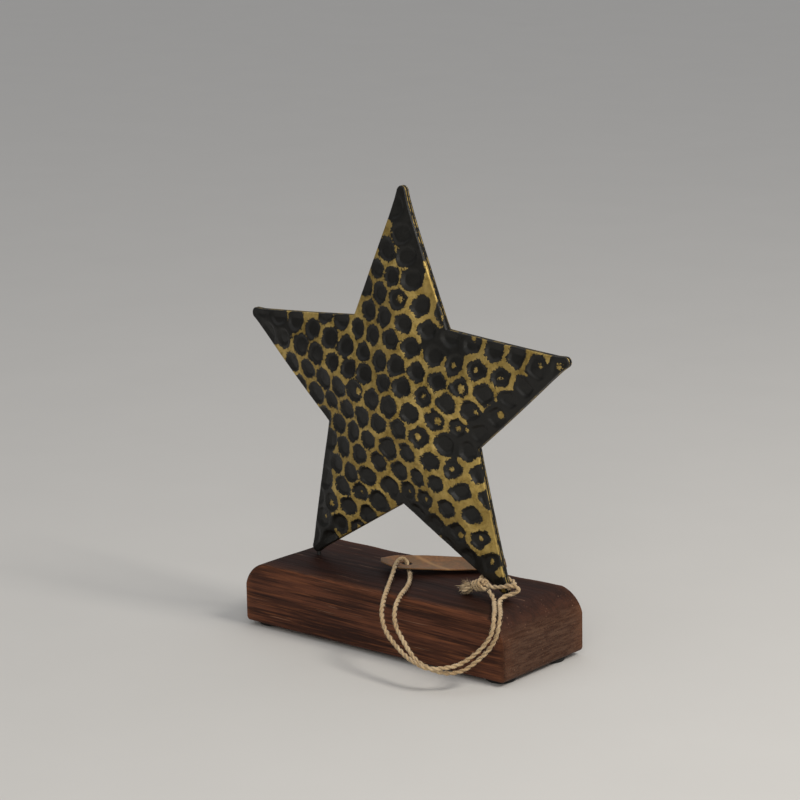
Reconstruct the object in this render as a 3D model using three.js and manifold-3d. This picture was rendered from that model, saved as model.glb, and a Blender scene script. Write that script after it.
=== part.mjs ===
// Star trophy: a hollow star of two pressed iron shells, standing on two bent steel pins in a
// dark wooden block with four round pads. A paper tag hangs on a jute string tied to one leg.
// Units are millimetres. +Z is up, +X runs along the block and -Y is the front.
// The origin is the middle of the resting face, on the surface that the pads stand on.

import * as THREE from 'three';
import { mergeVertices } from 'three/addons/utils/BufferGeometryUtils.js';
import Module from 'manifold-3d';

// ---------- Driving dimensions ----------

// Wooden block
const blockLength = 150;
const blockDepth = 52;
const blockThickness = 28;
const blockEndRounding = 8; // along the two short top edges
const blockEdgeRounding = 1.2; // along the long edges
const blockFootRounding = 2; // along the two short bottom edges

// Pads
const padDiameter = 13;
const padThickness = 2;
const padInset = 9; // from the block's sides to the pad's centre
const padBevel = 0.5;

// Star
const pointRadius = 97.3; // centre to where the two edges of a point would meet
const notchRatio = 0.46146; // centre to the notch between two points, as a part of pointRadius
const pointCut = 4.1; // how much of each sharp point is cut off
const bulge = 9; // height of the centre over the rim, on each side
const rimThickness = 3; // both shells together, at the edge
const sheetThickness = 0.8;
const seamGap = 0.3; // between the two shells
const footGap = 2.4; // under the lowest corner of a foot

// Pins
const pinDiameter = 2;
const pinInLeg = 28; // length held inside the leg
const pinInBlock = 14; // length sunk in the block
const pinBend = 5; // radius of the bend at the foot
const pinClearance = 0.3; // round the pin, in the shells and the block
const pinCornerInset = 1; // from the cut of the point to the corner of the bend

// Paper tag
const tagLength = 55;
const tagWidth = 19;
const tagThickness = 0.8;
const tagTaper = 7; // length of the cut corners
const tagEndWidth = 6;
const tagHoleDiameter = 5;
const tagHoleInset = 11.5; // from the narrow end to the hole's centre
const tagHolePlace = [-6, 6.3]; // on the block, in X and Y
const tagLift = 2.6; // underside at the hole, over the block
const tagHeading = 42.5; // degrees from +X
const tagPitch = 2; // degrees down towards the far end

// String
const stringDiameter = 1.8;
const stringSides = 8;
const knotDiameter = 4.2;
const frayedDiameter = 3.6;
const knotStart = [47.8, -4.4, 36.5];
const knotEnd = [41.2, -4.6, 34.1];
const frayedStart = [40.7, -4.7, 33.9];
const frayedEnd = [36.2, -5.3, 32.2];

// The string from the knot, round its small loop beside the leg, forward over the corner of the
// block, back under the tag, up through its hole and home beside itself to the knot.
const stringRoute = [
  [48.4, -4.2, 35.9], [51.5, -4.2, 35.4], [54.6, -4.0, 35.9], [57.6, -3.8, 36.6],
  [60.2, -3.0, 37.3], [62.5, -2.0, 37.1], [63.6, -1.4, 35.7], [62.5, -2.0, 34.3],
  [60.4, -3.6, 33.4], [58.9, -5.8, 32.5], [59.1, -8.4, 31.6], [62.1, -12.4, 31.2],
  [66.9, -18.1, 31.2], [71.3, -23.4, 31.2], [73.5, -26.7, 30.4], [74.4, -28.5, 28.0],
  [73.3, -29.5, 22.8], [70.2, -31.0, 17.1], [66.9, -34.0, 12.9], [63.9, -38.5, 9.6],
  [60.8, -42.8, 8.6], [56.4, -45.6, 8.8], [51.4, -47.6, 10.2], [45.6, -48.0, 12.2],
  [40.4, -47.0, 15.3], [35.6, -45.5, 19.0], [30.8, -43.5, 22.4], [26.8, -40.5, 25.9],
  [23.6, -36.0, 29.2], [19.2, -27.6, 31.2], [15.0, -19.6, 31.2], [10.6, -12.0, 31.2],
  [5.0, -4.4, 31.2], [0.6, 0.6, 31.2], [-3.2, 4.3, 31.2], [-5.3, 6.1, 31.8],
  [-6.3, 6.7, 33.3], [-6.9, 5.7, 35.2], [-7.2, 2.9, 35.7], [-6.2, 0.2, 35.4],
  [-4.3, -3.4, 35.1], [-2.6, -6.2, 34.3], [-1.2, -9.0, 32.9], [2.4, -15.2, 31.4],
  [7.9, -23.2, 31.2], [11.8, -29.2, 30.6], [15.0, -34.2, 29.1], [18.8, -39.6, 26.5],
  [22.6, -43.0, 22.8], [27.6, -45.6, 19.4], [34.0, -47.6, 16.2], [40.6, -49.2, 13.5],
  [46.8, -50.2, 12.0], [52.8, -50.0, 11.0], [58.2, -46.8, 11.2], [62.6, -42.2, 12.2],
  [65.9, -37.2, 14.9], [69.7, -33.4, 19.6], [71.9, -30.8, 24.4], [71.9, -28.8, 29.0],
  [70.2, -26.4, 31.2], [65.2, -19.7, 31.2], [59.8, -13.3, 31.2], [56.1, -8.9, 31.5],
  [53.3, -7.0, 32.6], [50.9, -6.2, 34.1],
];

// The turn of string round the back of the leg, from the small loop to the knot.
const wrapRoute = [
  [58.4, -2.2, 35.6], [59.2, 0.2, 36.0], [57.9, 3.0, 36.6], [54.0, 4.4, 37.2],
  [49.0, 4.7, 37.6], [44.6, 4.2, 37.7], [42.2, 2.2, 37.4], [42.2, -0.4, 37.0], [43.4, -1.6, 36.9],
];

// ---------- Derived places ----------

const blockTop = padThickness + blockThickness;
const half = Math.PI / 5; // half the angle between two points
const footAngle = (54 * Math.PI) / 180; // legs, below the horizontal
const cutRadius = pointRadius - pointCut;
const notchRadius = pointRadius * notchRatio;
const edgeLength = Math.hypot(
  pointRadius - notchRadius * Math.cos(half),
  notchRadius * Math.sin(half),
);
const edgeDistance = (pointRadius * notchRadius * Math.sin(half)) / edgeLength;
const pointSlope = (notchRadius * Math.sin(half)) / (pointRadius - notchRadius * Math.cos(half));
const cutHalfWidth = pointCut * pointSlope;
const starHeight = blockTop + footGap
  + cutRadius * Math.sin(footAngle) + cutHalfWidth * Math.cos(footAngle);
// How far out the pins enter the block.
const pinAcross = (cutRadius - pinCornerInset) * Math.cos(footAngle);
// The string and the tag were laid out round a leg this far out, and move sideways with it.
const laidOutPinAcross = 54.194;
const stringShift = pinAcross - laidOutPinAcross;

// ---------- Materials ----------

function finish(color, roughness, metalness) {
  return new THREE.MeshStandardMaterial({ color, roughness, metalness });
}

// ---------- Solids ----------

const manifold = await Module();
manifold.setup();

function toSolid(geometry) {
  const bare = geometry.clone();
  bare.deleteAttribute('normal');
  bare.deleteAttribute('uv');
  const merged = mergeVertices(bare, 1e-4);
  return new manifold.Manifold(new manifold.Mesh({
    numProp: 3,
    vertProperties: new Float32Array(merged.attributes.position.array),
    triVerts: new Uint32Array(merged.index.array),
  }));
}

function toGeometry(solid) {
  const mesh = solid.getMesh();
  const geometry = new THREE.BufferGeometry();
  geometry.setAttribute('position', new THREE.BufferAttribute(mesh.vertProperties, 3));
  geometry.setIndex(new THREE.BufferAttribute(mesh.triVerts, 1));
  geometry.computeVertexNormals();
  return geometry;
}

function piece(name, geometry, material) {
  const mesh = new THREE.Mesh(geometry, material);
  mesh.name = name;
  return mesh;
}

function tube(points, diameter, sides, steps) {
  const section = new THREE.Shape();
  for (let i = 0; i < sides; i += 1) {
    const angle = (2 * Math.PI * i) / sides;
    const x = (diameter / 2) * Math.cos(angle);
    const y = (diameter / 2) * Math.sin(angle);
    if (i === 0) section.moveTo(x, y);
    else section.lineTo(x, y);
  }
  const curve = new THREE.CatmullRomCurve3(points.map((p) => new THREE.Vector3(...p)));
  return new THREE.ExtrudeGeometry(section, { steps, extrudePath: curve, bevelEnabled: false });
}

// ---------- Wooden block ----------

function blockSolid() {
  const inset = blockEdgeRounding;
  const x = blockLength / 2 - inset;
  const low = padThickness + inset;
  const high = blockTop - inset;
  const end = blockEndRounding - inset;
  const foot = blockFootRounding - inset;
  const side = new THREE.Shape();
  side.moveTo(-x + foot, low);
  side.lineTo(x - foot, low);
  side.absarc(x - foot, low + foot, foot, -Math.PI / 2, 0);
  side.lineTo(x, high - end);
  side.absarc(x - end, high - end, end, 0, Math.PI / 2);
  side.lineTo(-x + end, high);
  side.absarc(-x + end, high - end, end, Math.PI / 2, Math.PI);
  side.lineTo(-x, low + foot);
  side.absarc(-x + foot, low + foot, foot, Math.PI, 1.5 * Math.PI);
  const geometry = new THREE.ExtrudeGeometry(side, {
    depth: blockDepth - 2 * inset,
    bevelThickness: inset,
    bevelSize: inset,
    bevelSegments: 3,
    curveSegments: 5,
  });
  // The outline is drawn in X and Z, so the extrusion is stood up to run along Y.
  geometry.rotateX(Math.PI / 2);
  geometry.translate(0, blockDepth / 2 - inset, 0);
  return toSolid(geometry);
}

function pinHole(side) {
  const depth = pinInBlock + 1;
  const above = 2;
  const hole = new THREE.CylinderGeometry(
    pinDiameter / 2 + pinClearance,
    pinDiameter / 2 + pinClearance,
    depth + above,
    16,
  );
  hole.rotateX(Math.PI / 2);
  hole.translate(side * pinAcross, 0, blockTop + (above - depth) / 2);
  return toSolid(hole);
}

function woodenBlock() {
  const solid = blockSolid().subtract(pinHole(-1)).subtract(pinHole(1));
  return piece('wood_block', toGeometry(solid), finish(0x4a2c22, 0.45, 0));
}

// ---------- Pads ----------

function pad(name, x, y) {
  const r = padDiameter / 2;
  const profile = [
    new THREE.Vector2(0, 0),
    new THREE.Vector2(r - padBevel, 0),
    new THREE.Vector2(r, padBevel),
    new THREE.Vector2(r, padThickness),
    new THREE.Vector2(0, padThickness),
  ];
  const geometry = new THREE.LatheGeometry(profile, 24);
  geometry.rotateX(Math.PI / 2);
  const mesh = piece(name, geometry, finish(0x151413, 0.9, 0));
  mesh.position.set(x, y, 0);
  return mesh;
}

function pads() {
  const group = new THREE.Group();
  const x = blockLength / 2 - padInset;
  const y = blockDepth / 2 - padInset;
  group.add(pad('pad_front_left', -x, -y));
  group.add(pad('pad_front_right', x, -y));
  group.add(pad('pad_rear_left', -x, y));
  group.add(pad('pad_rear_right', x, y));
  return group;
}

// ---------- Star ----------

// One half of the star as a closed solid: a flat back at `back`, a rim up to `rim` and five
// ridges that rise from there to the middle. Inset moves every edge inwards by that much.
function halfStar(inset, back, rim, cut) {
  const scale = (edgeDistance - inset) / edgeDistance;
  const tip = pointRadius * scale;
  const notch = notchRadius * scale;
  const apex = rim + bulge * scale;
  const width = (tip - cut) * pointSlope;
  const ridge = rim + (bulge * scale * (tip - cut)) / tip;
  const outline = [];
  for (let i = 0; i < 5; i += 1) {
    const a = Math.PI / 2 + i * 2 * half;
    const along = [Math.cos(a), Math.sin(a)];
    const left = [-Math.sin(a), Math.cos(a)];
    outline.push([cut * along[0] - width * left[0], cut * along[1] - width * left[1], rim]);
    outline.push([cut * along[0], cut * along[1], ridge]);
    outline.push([cut * along[0] + width * left[0], cut * along[1] + width * left[1], rim]);
    outline.push([notch * Math.cos(a + half), notch * Math.sin(a + half), rim]);
  }
  const count = outline.length;
  const positions = [
    ...outline.flat(),
    ...outline.map(([x, z]) => [x, z, back]).flat(),
    0, 0, apex,
    0, 0, back,
  ];
  const top = 2 * count;
  const bottom = top + 1;
  const index = [];
  for (let i = 0; i < count; i += 1) {
    const j = (i + 1) % count;
    index.push(top, i, j);
    index.push(bottom, count + j, count + i);
    index.push(i, count + i, count + j, i, count + j, j);
  }
  const geometry = new THREE.BufferGeometry();
  geometry.setAttribute('position', new THREE.Float32BufferAttribute(positions, 3));
  geometry.setIndex(index);
  return geometry;
}

// The pin's middle line: up the leg inside the star, round the bend and down into the block.
// side is 1 for the right leg and -1 for the left.
function pinCurve(side) {
  const down = new THREE.Vector3(side * Math.cos(footAngle), 0, -Math.sin(footAngle));
  const centre = new THREE.Vector3(0, 0, starHeight);
  const corner = centre.clone().addScaledVector(down, cutRadius - pinCornerInset);
  const turn = Math.PI / 2 - footAngle;
  const tangent = pinBend * Math.tan(turn / 2);
  const before = corner.clone().addScaledVector(down, -tangent);
  const after = corner.clone().add(new THREE.Vector3(0, 0, -tangent));
  const path = new THREE.CurvePath();
  path.add(new THREE.LineCurve3(corner.clone().addScaledVector(down, -pinInLeg), before));
  path.add(new THREE.QuadraticBezierCurve3(before, corner, after));
  const end = new THREE.Vector3(corner.x, 0, blockTop - pinInBlock);
  path.add(new THREE.LineCurve3(after, end));
  return path;
}

function pinGeometry(side, diameter) {
  const points = pinCurve(side).getSpacedPoints(20).map((p) => p.toArray());
  return tube(points, diameter, 10, 20);
}

function shellSolid() {
  const rim = rimThickness / 2;
  const slope = Math.atan2(bulge, edgeDistance);
  const innerRim = rim - sheetThickness * (1 / Math.cos(slope) - Math.tan(slope));
  const outer = toSolid(halfStar(0, seamGap / 2, rim, cutRadius));
  const inner = toSolid(halfStar(sheetThickness, -1, innerRim, cutRadius - sheetThickness));
  return outer.subtract(inner);
}

// A shell is built lying down, with its outside up, and then stood up facing one way.
function shell(name, facing) {
  const flat = toGeometry(shellSolid());
  flat.rotateX(Math.PI / 2);
  if (facing > 0) flat.rotateZ(Math.PI);
  flat.translate(0, 0, starHeight);
  let solid = toSolid(flat);
  for (const side of [-1, 1]) {
    solid = solid.subtract(toSolid(pinGeometry(side, pinDiameter + 2 * pinClearance)));
  }
  return piece(name, toGeometry(solid), finish(0x8a7030, 0.5, 0.6));
}

function pin(name, side) {
  return piece(name, pinGeometry(side, pinDiameter), finish(0x55565a, 0.4, 1));
}

// ---------- Paper tag ----------

function tag() {
  const start = -tagHoleInset;
  const end = tagLength - tagHoleInset;
  const w = tagWidth / 2;
  const e = tagEndWidth / 2;
  const card = new THREE.Shape();
  card.moveTo(start, -e);
  card.lineTo(start + tagTaper, -w);
  card.lineTo(end, -w);
  card.lineTo(end, w);
  card.lineTo(start + tagTaper, w);
  card.lineTo(start, e);
  const hole = new THREE.Path();
  hole.absarc(0, 0, tagHoleDiameter / 2, 0, 2 * Math.PI, true);
  card.holes.push(hole);
  const geometry = new THREE.ExtrudeGeometry(card, {
    depth: tagThickness,
    bevelEnabled: false,
    curveSegments: 8,
  });
  const mesh = piece('paper_tag', geometry, finish(0x9a6c42, 0.9, 0));
  mesh.position.set(tagHolePlace[0] + stringShift, tagHolePlace[1], blockTop + tagLift);
  mesh.rotation.set(0, THREE.MathUtils.degToRad(tagPitch), THREE.MathUtils.degToRad(tagHeading), 'ZYX');
  return mesh;
}

// ---------- String ----------

const jute = () => finish(0xbda57e, 0.95, 0);

// A plump lump between two points: the knot's outer shape, or the frayed ends'.
function lump(name, from, to, diameter) {
  const a = new THREE.Vector3(...from);
  const b = new THREE.Vector3(...to);
  const geometry = new THREE.SphereGeometry(1, 16, 10);
  geometry.scale(diameter / 2, a.distanceTo(b) / 2, diameter / 2);
  const mesh = piece(name, geometry, jute());
  mesh.position.copy(a).lerp(b, 0.5);
  mesh.quaternion.setFromUnitVectors(new THREE.Vector3(0, 1, 0), b.sub(a).normalize());
  return mesh;
}

function string() {
  const group = new THREE.Group();
  group.add(piece('twine_loop', tube(stringRoute, stringDiameter, stringSides, 64), jute()));
  group.add(piece('twine_leg_wrap', tube(wrapRoute, stringDiameter, stringSides, 12), jute()));
  group.add(lump('twine_knot', knotStart, knotEnd, knotDiameter));
  group.add(lump('twine_frayed_ends', frayedStart, frayedEnd, frayedDiameter));
  group.position.x = stringShift;
  return group;
}

// ---------- Assembly ----------

const trophy = new THREE.Group();
trophy.add(woodenBlock());
trophy.add(pads());
trophy.add(shell('star_front_shell', -1));
trophy.add(shell('star_back_shell', 1));
trophy.add(pin('left_leg_pin', -1));
trophy.add(pin('right_leg_pin', 1));
trophy.add(tag());
trophy.add(string());

export default trophy;
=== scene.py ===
"""Star trophy: a honeycomb star of black and gold sheet iron on a walnut block, with a string tag.

Laid out as a Blender add-on and run as a script. Sizes are in metres, with the block along X,
the front towards -Y and the floor at z = 0.
"""

import math
import random

import bmesh
import bpy
import numpy as np
from mathutils import Matrix, Vector


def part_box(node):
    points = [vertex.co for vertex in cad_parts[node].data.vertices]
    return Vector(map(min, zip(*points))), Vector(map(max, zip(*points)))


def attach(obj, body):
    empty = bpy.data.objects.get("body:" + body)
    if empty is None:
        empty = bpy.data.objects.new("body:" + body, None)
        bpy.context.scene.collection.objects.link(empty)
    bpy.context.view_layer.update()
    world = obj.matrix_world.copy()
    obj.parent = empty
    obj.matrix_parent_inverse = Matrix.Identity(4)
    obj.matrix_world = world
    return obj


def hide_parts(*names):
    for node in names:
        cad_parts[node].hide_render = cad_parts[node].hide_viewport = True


bl_info = {
    "name": "Star Trophy",
    "version": (1, 0, 0),
    "blender": (4, 5, 0),
    "location": "View3D > Sidebar > Trophy",
    "description": "Builds the star, its block, the tag and the string round the solid parts",
    "category": "Object",
}

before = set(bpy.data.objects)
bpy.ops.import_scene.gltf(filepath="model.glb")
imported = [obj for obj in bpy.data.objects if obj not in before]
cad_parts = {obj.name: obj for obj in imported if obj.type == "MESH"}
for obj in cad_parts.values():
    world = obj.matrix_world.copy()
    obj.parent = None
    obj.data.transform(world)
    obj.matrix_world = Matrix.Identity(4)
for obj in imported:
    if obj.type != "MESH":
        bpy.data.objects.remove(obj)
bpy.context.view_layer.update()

MM = 0.001
# The string from the knot to the tag and back, the same points as the solid, in mm.
STRING_ROUTE = [tuple(value * MM for value in point) for point in (
    (48.4, -4.2, 35.9), (51.5, -4.2, 35.4), (54.6, -4.0, 35.9), (57.6, -3.8, 36.6),
    (60.2, -3.0, 37.3), (62.5, -2.0, 37.1), (63.6, -1.4, 35.7), (62.5, -2.0, 34.3),
    (60.4, -3.6, 33.4), (58.9, -5.8, 32.5), (59.1, -8.4, 31.6), (62.1, -12.4, 31.2),
    (66.9, -18.1, 31.2), (71.3, -23.4, 31.2), (73.5, -26.7, 30.4), (74.4, -28.5, 28.0),
    (73.3, -29.5, 22.8), (70.2, -31.0, 17.1), (66.9, -34.0, 12.9), (63.9, -38.5, 9.6),
    (60.8, -42.8, 8.6), (56.4, -45.6, 8.8), (51.4, -47.6, 10.2), (45.6, -48.0, 12.2),
    (40.4, -47.0, 15.3), (35.6, -45.5, 19.0), (30.8, -43.5, 22.4), (26.8, -40.5, 25.9),
    (23.6, -36.0, 29.2), (19.2, -27.6, 31.2), (15.0, -19.6, 31.2), (10.6, -12.0, 31.2),
    (5.0, -4.4, 31.2), (0.6, 0.6, 31.2), (-3.2, 4.3, 31.2), (-5.3, 6.1, 31.8), (-6.3, 6.7, 33.3),
    (-6.9, 5.7, 35.2), (-7.2, 2.9, 35.7), (-6.2, 0.2, 35.4), (-4.3, -3.4, 35.1),
    (-2.6, -6.2, 34.3), (-1.2, -9.0, 32.9), (2.4, -15.2, 31.4), (7.9, -23.2, 31.2),
    (11.8, -29.2, 30.6), (15.0, -34.2, 29.1), (18.8, -39.6, 26.5), (22.6, -43.0, 22.8),
    (27.6, -45.6, 19.4), (34.0, -47.6, 16.2), (40.6, -49.2, 13.5), (46.8, -50.2, 12.0),
    (52.8, -50.0, 11.0), (58.2, -46.8, 11.2), (62.6, -42.2, 12.2), (65.9, -37.2, 14.9),
    (69.7, -33.4, 19.6), (71.9, -30.8, 24.4), (71.9, -28.8, 29.0), (70.2, -26.4, 31.2),
    (65.2, -19.7, 31.2), (59.8, -13.3, 31.2), (56.1, -8.9, 31.5), (53.3, -7.0, 32.6),
    (50.9, -6.2, 34.1),
)]
# Its turn round the back of the leg.
WRAP_ROUTE = [tuple(value * MM for value in point) for point in (
    (58.4, -2.2, 35.6), (59.2, 0.2, 36.0), (57.9, 3.0, 36.6), (54.0, 4.4, 37.2),
    (49.0, 4.7, 37.6), (44.6, 4.2, 37.7), (42.2, 2.2, 37.4), (42.2, -0.4, 37.0),
    (43.4, -1.6, 36.9),
)]
KNOT_ENDS = (Vector((0.0478, -0.0044, 0.0365)), Vector((0.0412, -0.0046, 0.0341)))
TUFT_END = Vector((0.0358, -0.0054, 0.0316))

# Strokes that the dry brush missed, in mm: X and Z of both ends from the star's centre, then the
# half width.
BARE_STROKES = (
    (0, 86, 0, 96, 7),  # the top point's tip
    (11, 60, 6, 86, 3),  # its right edge
    (21, 31, 34, 31, 5),  # the notch beside it
    (46, -5, 88, 26, 5),  # the right arm's lower edge
    (31, -14, 43, -11, 4),  # the notch under it
    (28, -56, 52, -78, 5),  # the right leg's inner edge
    (0, -44, 20, -51, 3),  # the notch between the legs
    (-48, -24, -50, -76, 7),  # the left leg's outer edge
    (-70, 22, -90, 29, 6),  # the left arm's tip
)


# ---------- Sizes and colours ----------

class TrophyBlockSettings(bpy.types.PropertyGroup):
    end_round: bpy.props.FloatProperty(
        name="End rounding", description="Radius along the two short top edges",
        default=0.0108, unit="LENGTH")
    edge_round: bpy.props.FloatProperty(
        name="Edge rounding", description="Radius along the long edges",
        default=0.0010, unit="LENGTH")
    top_stain: bpy.props.StringProperty(
        name="Top stain", description="Colour of the stained top, as sRGB hex", default="341d15")
    side_stain: bpy.props.StringProperty(
        name="Side stain", description="Colour of the stained sides, as sRGB hex", default="5f3827")
    worn_wood: bpy.props.StringProperty(
        name="Worn wood", description="Colour where the stain has worn, as sRGB hex",
        default="875335")


class TrophyStarSettings(bpy.types.PropertyGroup):
    point_radius: bpy.props.FloatProperty(
        name="Point radius", description="Centre to where a point's edges would meet",
        default=0.0973, unit="LENGTH")
    notch_radius: bpy.props.FloatProperty(
        name="Notch radius", description="Centre to the notch between two points",
        default=0.0449, unit="LENGTH")
    cut_radius: bpy.props.FloatProperty(
        name="Cut radius", description="Centre to the cut end of a point",
        default=0.0932, unit="LENGTH")
    bulge: bpy.props.FloatProperty(
        name="Bulge", description="Height of the middle over the rim, on each side",
        default=0.009, unit="LENGTH")
    rim: bpy.props.FloatProperty(
        name="Rim thickness", description="Both shells together at the edge",
        default=0.003, unit="LENGTH")
    tip_radius: bpy.props.FloatProperty(
        name="Tip radius", description="Rounding of the end of each point",
        default=0.0024, unit="LENGTH")
    cell_depth: bpy.props.FloatProperty(
        name="Cell depth", description="How far a cell is beaten in",
        default=0.0011, unit="LENGTH")
    cell_spacing: bpy.props.FloatProperty(
        name="Cell spacing", description="From one hollow of a row to the next",
        default=0.0108, unit="LENGTH")
    cell_radius: bpy.props.FloatProperty(
        name="Cell radius", description="Radius of a hollow", default=0.0042, unit="LENGTH")
    row_slant: bpy.props.FloatProperty(
        name="Row slant", description="How far the rows of hollows fall towards the right",
        default=math.radians(9), unit="ROTATION")
    gold: bpy.props.StringProperty(
        name="Gold", description="Colour of the brushed gold, as sRGB hex", default="c0a459")
    black: bpy.props.StringProperty(
        name="Black", description="Colour of the enamel, as sRGB hex", default="171613")


class TrophyTagSettings(bpy.types.PropertyGroup):
    length: bpy.props.FloatProperty(
        name="Length", description="Length of the card", default=0.0558, unit="LENGTH")
    width: bpy.props.FloatProperty(
        name="Width", description="Width of the card", default=0.019, unit="LENGTH")
    hole: bpy.props.FloatProperty(
        name="Hole", description="Diameter of the hole", default=0.005, unit="LENGTH")
    hole_inset: bpy.props.FloatProperty(
        name="Hole inset", description="Narrow end to the middle of the hole",
        default=0.0115, unit="LENGTH")
    hole_place: bpy.props.FloatVectorProperty(
        name="Hole place", description="Where the middle of the hole is, on the card's top",
        default=(-0.006, 0.0063, 0.0334), subtype="TRANSLATION")
    heading: bpy.props.FloatProperty(
        name="Heading", description="Direction of the card, from +X",
        default=math.radians(42.5), subtype="ANGLE")
    pitch: bpy.props.FloatProperty(
        name="Pitch", description="Slope of the card, down to its wide end",
        default=math.radians(2), subtype="ANGLE")
    kraft: bpy.props.StringProperty(
        name="Kraft", description="Colour of the card, as sRGB hex", default="80562b")


class TrophyStringSettings(bpy.types.PropertyGroup):
    diameter: bpy.props.FloatProperty(
        name="Diameter", description="Diameter of the string", default=0.0018, unit="LENGTH")
    lay_length: bpy.props.FloatProperty(
        name="Lay length", description="Length of one full turn of the two plies",
        default=0.0062, unit="LENGTH")
    jute: bpy.props.StringProperty(
        name="Jute", description="Colour of the fibre, as sRGB hex", default="c3a67c")


class TrophyStageSettings(bpy.types.PropertyGroup):
    azimuth: bpy.props.FloatProperty(
        name="Azimuth", description="Camera's angle round the trophy",
        default=math.radians(40.83), subtype="ANGLE")
    elevation: bpy.props.FloatProperty(
        name="Elevation", description="Camera's angle over the horizon",
        default=math.radians(13.44), subtype="ANGLE")
    distance: bpy.props.FloatProperty(
        name="Distance", description="Camera to its target", default=1.33225, unit="LENGTH")
    lens: bpy.props.FloatProperty(
        name="Lens", description="Focal length in millimetres", default=136.69, min=1)
    ceiling_light: bpy.props.FloatProperty(
        name="Ceiling light", description="Strength of the light straight from above",
        default=0.72, min=0)
    wall_light: bpy.props.FloatProperty(
        name="Wall light", description="Strength of the light from the sides",
        default=0.07, min=0)
    floor: bpy.props.StringProperty(
        name="Floor", description="Colour of the floor, as sRGB hex", default="cbc9c5")


# ---------- Colour and material helpers ----------

def linear(hex_colour):
    """Turns an sRGB hex colour into the linear RGBA that the shaders take."""
    values = [int(hex_colour[i:i + 2], 16) / 255 for i in (0, 2, 4)]
    return [v / 12.92 if v <= 0.04045 else ((v + 0.055) / 1.055) ** 2.4 for v in values] + [1.0]


def add(tree, kind, inputs=None, **settings):
    """Adds a node, sets its own settings, and fills or links its inputs by name or number."""
    node = tree.nodes.new(kind)
    for name, value in settings.items():
        setattr(node, name, value)
    fill(tree, node, inputs or {})
    return node


def fill(tree, node, inputs):
    """Links each input to the socket given for it, or sets its value."""
    for name, value in inputs.items():
        if isinstance(value, bpy.types.NodeSocket):
            tree.links.new(value, node.inputs[name])
        else:
            node.inputs[name].default_value = value


def start_material(name):
    """A new material with its tree, its main shader and the object's own coordinates."""
    material = bpy.data.materials.new(name)
    material.use_nodes = True
    tree = material.node_tree
    shader = tree.nodes["Principled BSDF"]
    place = add(tree, "ShaderNodeTexCoord").outputs["Object"]
    return material, tree, shader, place


def stretched_noise(tree, place, size, detail=4.0, rough=0.55, distort=0.0):
    """Noise whose grains are size millimetres along X, Y and Z, or one size every way."""
    scale = [1 / (grain * MM) for grain in np.broadcast_to(size, 3)]
    moved = add(tree, "ShaderNodeMapping", {"Vector": place, "Scale": scale})
    return add(tree, "ShaderNodeTexNoise", {
        "Vector": moved.outputs["Vector"], "Scale": 1.0, "Detail": detail,
        "Roughness": rough, "Distortion": distort}).outputs["Fac"]


def ramp(tree, value, low, high, out_low=0.0, out_high=1.0):
    """Maps a value from one range to another, smoothly and held at both ends."""
    return add(tree, "ShaderNodeMapRange", {
        "Value": value, "From Min": low, "From Max": high,
        "To Min": out_low, "To Max": out_high}, interpolation_type="SMOOTHSTEP").outputs["Result"]


def blend(tree, factor, first, second):
    """Blends two colours."""
    node = add(tree, "ShaderNodeMix", {0: factor, 6: first, 7: second}, data_type="RGBA")
    return node.outputs[2]


def maths(tree, operation, *values):
    """One sum on one, two or three values."""
    return add(tree, "ShaderNodeMath", dict(enumerate(values)), operation=operation).outputs[0]


def relief(tree, shader, *layers):
    """Stacks bumps, each a height and how many millimetres it stands for."""
    normal = None
    for height, depth in layers:
        inputs = {"Height": height, "Distance": depth * MM, "Strength": 1.0}
        if normal is not None:
            inputs["Normal"] = normal
        normal = add(tree, "ShaderNodeBump", inputs).outputs["Normal"]
    tree.links.new(normal, shader.inputs["Normal"])


def attribute(tree, name):
    """A value that the mesh carries at each of its points."""
    return add(tree, "ShaderNodeAttribute", attribute_name=name).outputs["Fac"]


# ---------- Materials ----------

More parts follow.
